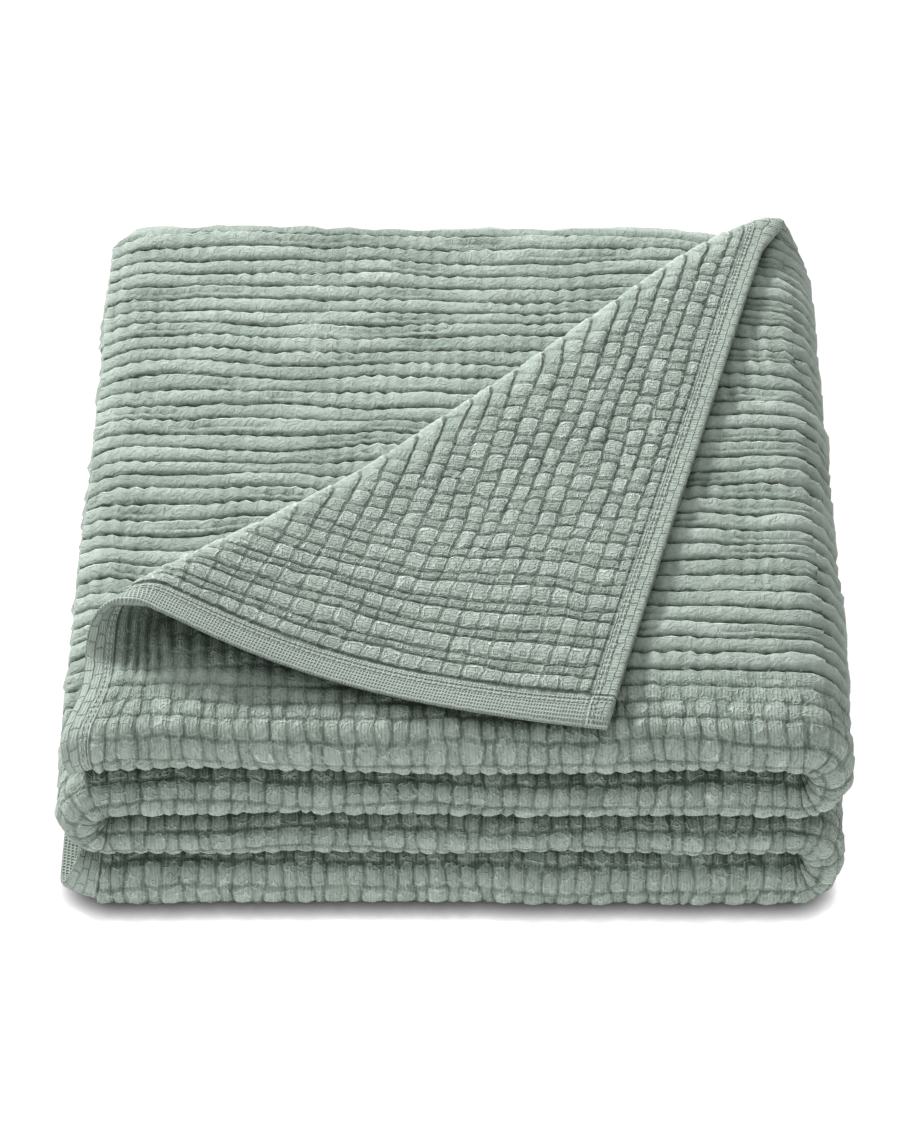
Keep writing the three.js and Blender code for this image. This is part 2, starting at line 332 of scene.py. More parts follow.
# Where the kinds of crinkle start and are full, and how much of them there is
crinkleZones = {
    "hiddenShare": 0.2,
    "rollShare": 0.1,
    "rollCells": 0.3,
    "lowerCells": 0.1,
    "frontCells": 0.95,
    "frontRows": 0.5,
    "baredLength": 0.01,
    # from the fold-back line
    "roll": (-0.002, 0.006),
    "flap": (0.014, 0.040),
    "flapCells": (0.016, 0.050),
    "top": (0.004, -0.004),
    "bared": (-0.004, 0.012),
    # along the sheet, and from the middle of a side turn
    "flapRows": (0.170, 0.070),
    "ridgesAlong": (0.34, 0.18),
    "sideTurn": (0.038, 0.024),
    # across the sheet from the front fold's start, its end, and the back fold's two
    "ridgesAcross": (-0.120, -0.070),
    "beforeFront": (-0.050, -0.012),
    "topLayer": (0.01, -0.01),
    "afterFront": (0.024, 0.004),
    "lowLayer": (0, 0.02),
    "beforeBack": (-0.010, 0),
    "afterBack": (0.010, 0),
    # from the sheet's edges
    "hem": (0.014, 0.034),
    "swell": (0.006, 0.040),
}


# How full a zone is at a distance from what it is measured from
def zone(name, value):
    return smooth(*crinkleZones[name], value)


# How far each part shows, how much of it is cells, where rows of cells run on, and where ridges run across
def crinkleShares(s, t, side):
    x = s - topLength + straightHalf
    u = pastLine(x, hemY - t)[0]
    onTop = (s < foldReach) & (t < noseStart)
    turned = onTop & (u > 0)
    none = np.zeros_like(s)
    hidden = crinkleZones["hiddenShare"]
    rollShare, rollCells = crinkleZones["rollShare"], crinkleZones["rollCells"]
    if side < 0:
        shown = np.where(turned, rollShare * zone("roll", u) + (1 - rollShare) * zone("flap", u), 0.0)
        flapCells = rollCells + (1 - rollCells) * zone("flapCells", u)
        cells = np.where(turned, flapCells, crinkleZones["lowerCells"])
        return hidden + (1 - hidden) * shown, cells, zone("flapRows", s), none
    bared = (s < topLength + crinkleZones["baredLength"]) & (t > backEnd)
    baredShown = np.where(bared, zone("bared", pastLine(x, backY - (t - backEnd))[0]), 0.0)
    front = zone("beforeFront", t - noseStart) * zone("afterFront", t - noseEnd)
    back = zone("beforeBack", t - backStart) * zone("afterBack", t - backEnd)
    sideTurn = none
    for band in range(1, bandCount):
        outerLayer = zone("topLayer", t - noseStart) if band % 2 else zone("lowLayer", t - noseEnd)
        fromMiddle = np.abs(s - (bandTo[band - 1] + bandFrom[band]) / 2)
        sideTurn = np.maximum(sideTurn, outerLayer * zone("sideTurn", fromMiddle))
    topShown = np.where(onTop, zone("top", u), 0.0)
    shown = np.maximum.reduce([topShown, front, back, sideTurn, baredShown])
    ridges = zone("ridgesAlong", s) * zone("ridgesAcross", t - noseStart) * (1 - front) * onTop
    cells, rows = crinkleZones["frontCells"] * front, crinkleZones["frontRows"] * front
    return hidden + (1 - hidden) * shown, cells, rows, ridges


# From the even lattice of ribs and beads to a place on the cloth: ribs wander, and cells are long and
# short by turns
def clothPlace(a, b, side):
    cells, rows = crinkleShares(a, b, side)[1:3]
    free = zone("hem", np.minimum.reduce([a, b, sheetLength - a, sheetWidth - b]))
    across = twoNoises(a, b, **gauzeCrinkle["across"])
    along = twoNoises(a, b, **gauzeCrinkle["along"])
    rib = b / ribPitch[side]
    ribEdge = 0.5 - np.abs(rib % 1 - 0.5)
    ribSide = smooth(0, gauzeCrinkle["tallShiftEase"], ribEdge) * (1 - 2 * (np.floor(rib) % 2))
    turns = ribSide * (1 - rows) + rows
    longer = gauzeCrinkle["tallShift"] * cells * turns * np.cos(math.pi * a / beadPitch)
    steady = 1 - gauzeCrinkle["cellSteadiness"] * cells
    s = a + free * (gauzeCrinkle["wanderAlong"] * along - longer)
    return s, b + free * gauzeCrinkle["wanderAcross"] * across * steady


# Ribs lean to one side, are pinched here and there, and some run together or split in two.
# A pair is the least value and what noise adds, or where noise starts and is full
ribForm = {
    "rise": (0, 0.17),
    "fall": (1, 0.84),
    "crown": 1.08,
    "lean": -0.45,
    "merging": (0.66, 0.84),
    "mergeLength": 0.034,
    "mergedShare": 0.5,
    "ridgedShare": 0.92,
    "splitting": (0.62, 0.80),
    "splitLength": 0.040,
    "splitDepth": 0.45,
    "splitWidth": 0.12,
    "beadRoundness": 0.6,
    "pinching": (0.35, 0.85),
    "pinchLengths": (0.030, 0.022),
    "pinchDepth": (0.12, 0.34),
    "tall": (0.62, 0.7),
    "tallLength": 0.035,
}

# Cells have round edges, rise to one side, and are tall and low by turns
cellForm = {
    "edge": {1: 0.27, -1: 0.22},
    "beadEdgeMore": 0.05,
    "faintInRows": 0.45,
    "faint": 0.5,
    "faintLength": 0.022,
    "grooveDepth": {1: 0.75, -1: 0.9},
    "grooveShare": (0.35, 0.65),
    "grooveLength": 0.016,
    "ridgeDepth": (0.3, 0.7),
    "rowDepth": 0.9,
    "lowShare": {1: 0.2, -1: 0.26},
    "tall": (0.72, 0.56),
    "lean": (0.84, 0.32),
}


def ranged(leastAndMore, share):
    return leastAndMore[0] + leastAndMore[1] * share


# A line in the noise for each rib or bead of its own
def ownLine(number, step):
    return number * step + 0.5


# Height of the crinkle over the cloth, and its shape from 0 in the grooves to about 1 on the crests
def crinkleShape(a, b, side):
    shown, cells, rows, ridges = crinkleShares(a, b, side)
    ribs = 1 - cells
    rib, bead = b / ribPitch[side], a / beadPitch
    ribPhase, beadPhase = rib % 1, bead % 1
    ribEdge, beadEdge = 0.5 - np.abs(ribPhase - 0.5), 0.5 - np.abs(beadPhase - 0.5)

    ribWave = smooth(*ribForm["rise"], ribPhase) * smooth(*ribForm["fall"], ribPhase)
    ribWave = ribWave * (ribForm["crown"] + ribForm["lean"] * ribPhase)
    cellEdge = cellForm["edge"][side]
    ribArch = ribs * ribWave + cells * smooth(0, cellEdge, ribEdge)
    mergeNoise = softNoise(a / ribForm["mergeLength"], ownLine(np.round(rib), 7.7), 21)
    merged = smooth(*ribForm["merging"], mergeNoise) * ribs
    faintNoise = softNoise(a / cellForm["faintLength"], ownLine(np.round(rib), 5.3), 24)
    faint = cells * (cellForm["faintInRows"] * rows + cellForm["faint"] * faintNoise)
    groove = (1 - ribForm["mergedShare"] * merged) * (1 - ribForm["ridgedShare"] * ridges) * (1 - faint)
    ribArch = 1 - (1 - ribArch) * groove
    splitNoise = softNoise(a / ribForm["splitLength"], ownLine(np.floor(rib), 7.3), 22)
    split = smooth(*ribForm["splitting"], splitNoise) * ribs * (1 - ridges)
    splitLine = np.exp(-(((ribPhase - 0.5) / ribForm["splitWidth"]) ** 2))
    ribArch = ribArch - ribForm["splitDepth"] * split * splitLine

    ribBeads = np.sin(math.pi * beadPhase) ** ribForm["beadRoundness"]
    beadArch = ribs * ribBeads + cells * smooth(0, cellEdge + cellForm["beadEdgeMore"], beadEdge)
    pinchAlong, pinchAcross = ribForm["pinchLengths"]
    pinchNoise = smooth(*ribForm["pinching"], softNoise(a / pinchAlong, b / pinchAcross, 23))
    grooveNoise = softNoise(ownLine(np.round(bead), 6.1), b / cellForm["grooveLength"], 25)
    uneven = ranged(cellForm["grooveShare"], grooveNoise)
    depth = np.maximum.reduce([
        ranged(ribForm["pinchDepth"], pinchNoise),
        cellForm["grooveDepth"][side] * cells * uneven,
        ridges * ranged(cellForm["ridgeDepth"], uneven),
        cellForm["rowDepth"] * rows * cells,
    ])
    shape = ribArch * (1 - depth * (1 - beadArch))

    low = (np.floor(rib) + np.floor(bead)) % 2 * (1 - rows) + np.floor(bead) % 2 * rows
    cellNoise = softNoise(ownLine(np.floor(rib), 9.1), ownLine(np.floor(bead), 7.3), 26)
    cellTall = (1 - low * cellForm["lowShare"][side]) * ranged(cellForm["tall"], cellNoise)
    cellTall = cellTall * ranged(cellForm["lean"], beadPhase)
    ribNoise = softNoise(ownLine(np.floor(rib), 4.3), a / ribForm["tallLength"], 27)
    shape = shape * (ranged(ribForm["tall"], ribNoise) * ribs + cells * cellTall)
    full = gauzeCrinkle["ribHeight"] * ribs + gauzeCrinkle["cellHeight"][side] * cells
    lumps = gauzeCrinkle["lumpHeight"] * twoNoises(a, b, **gauzeCrinkle["lumps"])
    return shown * (full * shape + lumps), shape, cells, ridges


# The hems: strips turned in from the same cloth, doubled at the corner
gauzeHem = {
    "width": 0.0172,
    "widthFade": (0.0030, -0.0002),
    "halfThickness": 0.0016,
    "waveLength": 0.0092,
    "waveHeight": 0.0007,
    "waveSway": 0.5,
    "waveSwayLengths": (0.02, 0.007),
    "endWaveShare": 0.25,
    "cornerRise": 0.0014,
    "clearOfHems": 0.1,
    "edgeWidth": 0.002,
    "edgeRound": (0.4, 0.6),
    "crest": 0.7,
}


# How far a point is in a hem, the hem's relief, which hem it is, and its places along and across it
def hemShape(s, t):
    fromEnd, fromSide = np.minimum(s, sheetLength - s), np.minimum(t, sheetWidth - t)
    onEnd = fromEnd < fromSide
    edge, along = np.where(onEnd, fromEnd, fromSide), np.where(onEnd, t, s)
    inHem = smooth(*gauzeHem["widthFade"], edge - gauzeHem["width"])
    inside = (t > backEnd) & onEnd  # the layer inside the bundle has its ribs out to its end
    inHem = np.where(inside, 0.0, inHem)
    edge = np.where(inside, edge + gauzeHem["clearOfHems"], edge)
    swayAlong, swayAcross = gauzeHem["waveSwayLengths"]
    sway = gauzeHem["waveSway"] * softNoise(along / swayAlong, edge / swayAcross, 71)
    wave = np.abs(np.sin(math.pi * (along / gauzeHem["waveLength"] + sway)))
    relief = gauzeHem["waveHeight"] * np.sqrt(wave) * np.where(onEnd, gauzeHem["endWaveShare"], 1.0)
    relief = relief + gauzeHem["cornerRise"] * (np.maximum(fromEnd, fromSide) < gauzeHem["width"])
    return inHem, relief, onEnd, along, edge


# A point of the cloth's face, with what the material needs there: crest or groove, cells, the hems,
# and its places on the sheet, in the lattice of beads and ribs, and along the nearest hem
def clothPoint(a, b, side):
    s, t = clothPlace(a, b, side)
    inHem, hemRelief, onEnd, along, edge = hemShape(s, t)
    crinkle, shape, cells, ridges = crinkleShape(a, b, side)
    half = gauzeCrinkle["halfThickness"] * (1 - inHem) + gauzeHem["halfThickness"] * inHem
    relief = crinkle * (1 - inHem) + hemRelief * inHem
    nearEdge = np.clip(np.minimum.reduce([s, sheetLength - s, edge]) / gauzeHem["edgeWidth"], 0, 1)
    rounded = ranged(gauzeHem["edgeRound"], np.sqrt(nearEdge))
    swellAlong, swellAcross = gauzeCrinkle["swellLengths"]
    swell = gauzeCrinkle["swellHeight"] * (2 * softNoise(s / swellAlong, t / swellAcross, 41) - 1)
    offset = side * (half + relief) * rounded + swell * zone("swell", edge)
    point = clothMiddle(s, t) + clothNormal(s, t) * offset[..., None]
    point[..., 2] = np.maximum(point[..., 2], 0)

    openHem = np.where(onEnd & (side < 0), inHem, 0.0)
    # The crest value sets the colour: low in the grooves, darkened as painted shade, and high on crests,
    # paler partly as lint and partly as painted highlight; hems get an even value
    crest = np.clip(shape, 0, 1) * (1 - inHem) + gauzeHem["crest"] * inHem
    # A thin painted highlight along the roll's crest raises the crest value on the flap's roll
    u, v = pastLine(s - topLength + straightHalf, hemY - t)
    onRoll = (side < 0) & (s < foldReach) & (t < noseStart)
    fromFoldHighlight = (u / rollRadius(v) - gauzeCrinkle["paintedFoldHighlightTurn"]) / gauzeCrinkle["paintedFoldHighlightWidth"]
    crest = np.maximum(crest, onRoll * gauzeCrinkle["paintedFoldHighlight"] * np.exp(-(fromFoldHighlight ** 2)))
    looks = {
        "crest": crest,
        "cells": np.maximum(cells, ridges),
        "ridges": ridges,
        "outlined": cells * gauzeCrinkle["outlined"][side],
        "brickHem": inHem - openHem,
        "openHem": openHem,
    }
    maps = {
        "clothPlace": (s, t),
        "latticePlace": (a / beadPitch, b / ribPitch[side]),
        "hemPlace": (along, edge),
    }
    return point, looks, maps


# Lines of the mesh: blocks of three beads by two ribs, 12 fine steps each way, set closer at the grooves.
# Each kind of block has its steps along and across the sheet
clothMesh = {
    "fineSteps": 12,
    "beadsPerBlock": 3,
    "ribsPerBlock": 2,
    "beadLines": [0, 0.15, 0.5, 0.85],
    "ribLines": [0, 0.12, 0.3, 0.5, 0.7, 0.88],
    "flatSteps": (1, 1),
    "hiddenSteps": (2, 2),
    "turnSteps": (4, 1),
    "bendSteps": (1, 4),
    "cellSteps": (12, 12),
    "topSteps": (6, 12),
    "sideSteps": (6, 6),
    "backSteps": (4, 6),
    "margin": 0.7,  # of half a block
    "besideFold": 0.02,  # how far the top layer stays fine past the fold-back line
    "rollEnd": 0.85,  # share of that line where the back end of the roll starts
    "rollWidth": 0.025,
    "cellsAhead": 0.004,  # how far before the front fold its cells start
    "flapInset": 0.036,  # from the flap's edges in, the top layer below it is hidden
    "flapLeftInset": 0.050,
    "flapLeftPart": (0.6, 0.1),
    "flapFrontInset": 0.095,
}
blockLength = beadPitch * clothMesh["beadsPerBlock"]
blockWidth = {side: pitch * clothMesh["ribsPerBlock"] for side, pitch in ribPitch.items()}


def fineLines(pitch, count, places):
    lines = (np.arange(count)[:, None] + np.array(places)[None, :]) * pitch
    return np.append(lines.ravel(), count * pitch)


# Whether the flap lies over a point of the top layer, well inside the flap's own edges
def underFlap(s, t):
    u, v = pastLine(s - topLength + straightHalf, hemY - t)
    past = -u / throwFold["flapReach"]
    length = v * lineLength - throwFold["flapSkew"] * past
    across = past + math.pi * throwFold["rollRadiusMiddle"]
    flapX = leftX + lineX * length - lineY * across
    flapY = foldLeftY + lineY * length + lineX * across
    inset = clothMesh["flapInset"]
    fromEnd = inset + clothMesh["flapLeftInset"] * smooth(*clothMesh["flapLeftPart"], v)
    insideFlap = flapX > leftX + fromEnd and flapY < hemY - inset
    return u < -inset and insideFlap and t < noseStart - clothMesh["flapFrontInset"]


def nearTo(value, start, end, margin):
    return start - margin < value < end + margin


# How many steps a block needs each way: few where it is flat or hidden, most where cells show
def blockSteps(s, t, side):
    halfS, halfT = blockLength / 2, blockWidth[side] / 2
    x = s - topLength + straightHalf
    u, v = pastLine(x, hemY - t)
    margin = clothMesh["margin"] * halfS + clothMesh["margin"] * halfT
    turn = next((k for k in range(bandCount - 1) if nearTo(s, bandTo[k], bandFrom[k + 1], halfS)), None)
    inTop = s < topLength + halfS
    top = inTop and t < noseStart
    wanted = ["flatSteps"]
    if turn is not None:
        wanted.append("turnSteps")
    bends = ((0, wrapLength), (noseStart, noseEnd), (backStart, backEnd))
    if any(nearTo(t, start, end, halfT) for start, end in bends):
        wanted.append("bendSteps")
    if side < 0:
        if top and u > -margin:
            wanted.append("cellSteps")
    else:
        if top and u < margin + clothMesh["besideFold"]:
            wanted.append("hiddenSteps" if underFlap(s, t) else "topSteps")
        if top and v > clothMesh["rollEnd"] and nearTo(u, 0, clothMesh["rollWidth"], margin):
            wanted.append("cellSteps")
        if inTop and t > backEnd and pastLine(x, backY - (t - backEnd))[0] > -margin:
            wanted.append("topSteps")
        if nearTo(t, noseStart - clothMesh["cellsAhead"], noseEnd - clothMesh["cellsAhead"], halfT):
            wanted.append("cellSteps")
        if turn is not None:
            outer = t > noseEnd - halfT if turn == 1 else t < noseStart + halfT
            if outer and (turn == 0 or t < backStart + halfT):
                wanted.append("sideSteps")
        if nearTo(t, backStart, backEnd, halfT):
            wanted.append("backSteps")
    return [max(clothMesh[name][k] for name in wanted) for k in (0, 1)]


# One face of the sheet: block by block, each block as fine as it needs and joined to its neighbours' points
def clothFace(side):
    steps = clothMesh["fineSteps"]
    sLines = fineLines(beadPitch, gauzeCrinkle["beadCount"], clothMesh["beadLines"])
    tLines = fineLines(ribPitch[side], gauzeCrinkle["ribCount"][side], clothMesh["ribLines"])
    rows, columns = (len(sLines) - 1) // steps, (len(tLines) - 1) // steps
    sizes = np.ones((rows, columns, 2), int)
    used = np.zeros((len(sLines), len(tLines)), bool)
    for a in range(rows):
        for b in range(columns):
            wanted = blockSteps((a + 0.5) * blockLength, (b + 0.5) * blockWidth[side], side)
            ni, nj = (steps // count for count in wanted)
            sizes[a, b] = ni, nj
            i, j = a * steps, b * steps
            used[i:i + steps + 1:ni, j:j + steps + 1:nj] = True
    ids = np.full(used.shape, -1)
    ids[used] = np.arange(used.sum())
    si, ti = np.nonzero(used)
    points, looks, maps = clothPoint(sLines[si], tLines[ti], side)
    faces = []
    for a in range(rows):
        for b in range(columns):
            ni, nj = sizes[a, b]
            for i in range(a * steps, (a + 1) * steps, ni):
                for j in range(b * steps, (b + 1) * steps, nj):
                    loop = [ids[k, j] for k in range(i, i + ni) if used[k, j]]
                    loop += [ids[i + ni, k] for k in range(j, j + nj) if used[i + ni, k]]
                    loop += [ids[k, j + nj] for k in range(i + ni, i, -1) if used[k, j + nj]]
                    loop += [ids[i, k] for k in range(j + nj, j, -1) if used[i, k]]
                    faces.append(loop[::-1] if side > 0 else loop)
    edges = ((ids[:, 0], sLines), (ids[:, -1], sLines), (ids[0], tLines), (ids[-1], tLines))
    borders = [(line[line >= 0], at[line >= 0]) for line, at in edges]
    return points, faces, borders, looks, maps


# Closes the rim between the two faces, taking the nearer next point each time
def rimFaces(upper, lower, shift, flip):
    (a, atA), (b, atB) = upper, lower
    i = j = 0
    faces = []
    while i < len(a) - 1 or j < len(b) - 1:
        onUpper = j == len(b) - 1 or (i < len(a) - 1 and atA[i + 1] <= atB[j + 1])
        face = [a[i], a[i + 1] if onUpper else b[j + 1] + shift, b[j] + shift]
        faces.append(face[::-1] if flip else face)
        i, j = (i + 1, j) if onUpper else (i, j + 1)
    return faces


def addMesh(name, points, faces):
    mesh = bpy.data.meshes.new(name)
    mesh.from_pydata(points, [], faces)
    mesh.update()
    mesh.shade_smooth()
    obj = bpy.data.objects.new(name, mesh)
    bpy.context.scene.collection.objects.link(obj)
    print(name, "mesh:", len(points), "points,", sum(len(face) - 2 for face in faces), "triangles")
    return obj


def buildThrow():
    upper, lower = clothFace(1), clothFace(-1)
    shift = len(upper[0])
    faces = upper[1] + [[k + shift for k in face] for face in lower[1]]
    for above, below, flip in zip(upper[2], lower[2], (False, True, True, False)):
        faces += rimFaces(above, below, shift, flip)
    obj = addMesh("throwGauze", np.concatenate([upper[0], lower[0]]).tolist(), faces)
    mesh = obj.data
    for name in upper[3]:
        values = np.concatenate([upper[3][name], lower[3][name]]).astype(np.float32)
        mesh.attributes.new(name, "FLOAT", "POINT").data.foreach_set("value", values)
    loopVertex = np.empty(len(mesh.loops), int)
    mesh.loops.foreach_get("vertex_index", loopVertex)
    for name in upper[4]:
        places = np.concatenate([np.stack(face[4][name], axis=1) for face in (upper, lower)])
        mesh.uv_layers.new(name=name).data.foreach_set("uv", places[loopVertex].ravel())
    return obj


# Sewing thread of the hems: two rows of stitches on each face, sunk in at their ends
hemStitches = {
    "pitch": 0.0036,
    "length": 0.0027,
    "radius": 0.00040,
    "rows": [0.0134, 0.0162],
    "lifts": [-0.0006, 0.0004, 0.0004, -0.0006],
    "places": [-0.5, -0.28, 0.28, 0.5],
    "corners": 5,
    "fromCorner": 0.0022,
    "sideHemEnd": 0.500,
    "endHemEnd": 0.480,
}


# The thread's rings of points for one row of stitches, from a stitch's one end to its other
def stitchRings(side, fromEdge, alongSide):
    end = hemStitches["sideHemEnd"] if alongSide else hemStitches["endHemEnd"]
    centres = np.arange(hemStitches["fromCorner"], end, hemStitches["pitch"])
    turns = 2 * math.pi * np.arange(hemStitches["corners"]) / hemStitches["corners"]
    step = 0.0002
    rings = []
    for place, lift in zip(hemStitches["places"], hemStitches["lifts"]):
        along = centres + place * hemStitches["length"]
        across = np.full_like(along, fromEdge)
        s, t = (along, across) if alongSide else (across, along)
        face = clothPoint(s, t, side)[0]
        normal = clothNormal(s, t) * side
        ahead = clothMiddle(s + step * alongSide, t + step * (not alongSide))
        cross = np.cross(ahead - clothMiddle(s, t), normal)
        cross /= np.linalg.norm(cross, axis=1, keepdims=True)
        circle = cross[:, None] * np.cos(turns)[None, :, None]
        circle = circle + normal[:, None] * np.sin(turns)[None, :, None]
        rings.append(face[:, None] + lift * normal[:, None] + hemStitches["radius"] * circle)
    return rings


def buildStitches():
    corners, ringCount = hemStitches["corners"], len(hemStitches["places"])
    points, faces = [], []
    rows = [(side, fromEdge, alongSide)
            for side in (1, -1) for fromEdge in hemStitches["rows"] for alongSide in (True, False)]
    for row in rows:
        for stitch in zip(*stitchRings(*row)):
            first = len(points)
            last = first + (ringCount - 1) * corners
            points += [tuple(point) for ring in stitch for point in ring]
            for near in range(first, last, corners):
                far = near + corners
                for c in range(corners):
                    after = (c + 1) % corners
                    faces.append([near + c, near + after, far + after, far + c])
            faces += [list(range(first, first + corners))[::-1], list(range(last, last + corners))]
    return addMesh("hemStitches", points, faces)


# Colours are sRGB hex values
def hexColour(code):
    channels = [int(code[k:k + 2], 16) / 255 for k in (0, 2, 4)]
    linear = [c / 12.92 if c <= 0.04045 else ((c + 0.055) / 1.055) ** 2.4 for c in channels]
    return (*linear, 1.0)


# Adds a node: each input takes a value or another node's output, and settings go to its properties
def addNode(tree, kind, inputs=None, output=0, **settings):
    node = tree.nodes.new("ShaderNode" + kind)
    for name, value in settings.items():
        setattr(node, name, value)
    for socket, value in (inputs or {}).items():
        if isinstance(value, bpy.types.NodeSocket):
            tree.links.new(value, node.inputs[socket])
        else:
            node.inputs[socket].default_value = value
    return node.outputs[output] if node.outputs else node


def newMaterial(name):
    material = bpy.data.materials.new(name)
    material.use_nodes = True
    material.node_tree.nodes.clear()
    return material, partial(addNode, material.node_tree)


# Dyed cotton gauze, several plies woven loose and washed until they crinkle.
# It is matt and soft, with lint and lumps on the ribs. Shade and highlight are painted into its colour: the
# pinched grooves are darker as painted shade, and the crests paler, partly lint and partly painted highlight,
# with a thin pale painted highlight line on each crest. Its threads are about 0.6 mm apart, drawn 1.9 mm
# apart so that they show
cottonGauze = {
    # Palest stop, reached by the painted highlight lines on crests and cell outlines, and by loose threads
    # and seams
    "lineColour": "dde5df",
    "crestColour": "b8c4bb",
    "crestStop": 0.68,
    "clothColour": "8f9d92",
    "clothStop": 0.30,
    # Darkest stop, reached in the grooves as painted shade
    "grooveColour": "4f5b52",
    "contrast": 0.66,
    "roughness": 0.94,
    "specular": 0.2,
    "sheen": 0.15,
    "sheenRoughness": 0.5,
    "lumpSize": 0.0046,
    "lineWave": 0.0062,
    "lineSway": 0.32,
    "lineFade": {"From Min": -0.18, "From Max": 0.02, "To Min": 0.35, "To Max": 1.0},
    "threadPitch": 0.0019,
    "openPitch": 0.0022,
    "brickSize": 0.0058,
    "brickSway": (0.0045, 0.0028, 0),
    "cellSquareness": 0.75,
    "cellCorner": 0.10,
    "bumpHeight": 0.0010,
    # how far the ambient occlusion for the painted crease shade reaches
    "creaseShadeReach": 0.024,
}

# Soft lines of the crinkle, in shares of a rib or bead, and of the seams, in metres: place and reach
gauzeLines = {
    "ribCrest": (0.14, 0.08),
    "ribGroove": (0.0, 0.09),
    "cellOutline": (0.14, 0.065),
    "cellGroove": (-0.01, 0.07),
    "looseThread": (0.0, 0.042),
    "seamAcross": (gauzeHem["width"] + 0.0006, 0.0011),
    "seamAlong": (gauzeHem["width"], 0.0009),
    "shadeAcross": (gauzeHem["width"] + 0.0024, 0.0014),
    "shadeAlong": (gauzeHem["width"] + 0.0015, 0.0011),
}

# Shares of each pattern in the cloth's height, where it has ribs or cells, in its hems and everywhere
gauzeHeights = {
    "ribs": {"lumps": 2.0, "ribCrest": 0.6, "ribGroove": -0.8},
    "cells": {"lumps": 1.2, "threads": 0.24, "cellOutline": 1.0, "cellGroove": -0.5, "looseThread": 0.7},
    "brickHem": {"lumps": 0.9, "threads": 0.30, "bricks": -0.8},
    "openHem": {"lumps": 0.6, "openWeave": 1.1},
    "everywhere": {"seam": 0.9, "seamShade": -0.7},
}

# The same for how light the cloth is, which paints light into its colour: the groove lines and low crest
# values darken the grooves as painted shade, the rib crest lines, high crest values and cell outlines make
# the crests and upper edges of cells paler as painted highlight (the paler crests partly also lint), the seam
# shade darkens the pinch beside each seam as painted shade, and ambient occlusion darkens folds and places
# under an edge as painted shade
gauzeShades = {
    "ribs": {"even": -0.32, "crest": 0.85, "lumps": 0.70, "ribCrest": 0.55, "ribGroove": -0.24},
    "cells": {"even": -0.42, "crest": 0.75, "lumps": 0.60, "cellOutline": 0.80, "cellGroove": -0.10,
              "threads": 0.14, "looseThread": 0.36},
    "brickHem": {"lumps": 0.6, "bricks": -0.15, "threads": 0.16, "crest": 0.4},
    "openHem": {"lumps": 0.4, "openWeave": 0.70},
    "everywhere": {"even": -0.46, "seam": 0.60, "seamShade": -0.50, "paintedCreaseShade": 0.55},
}


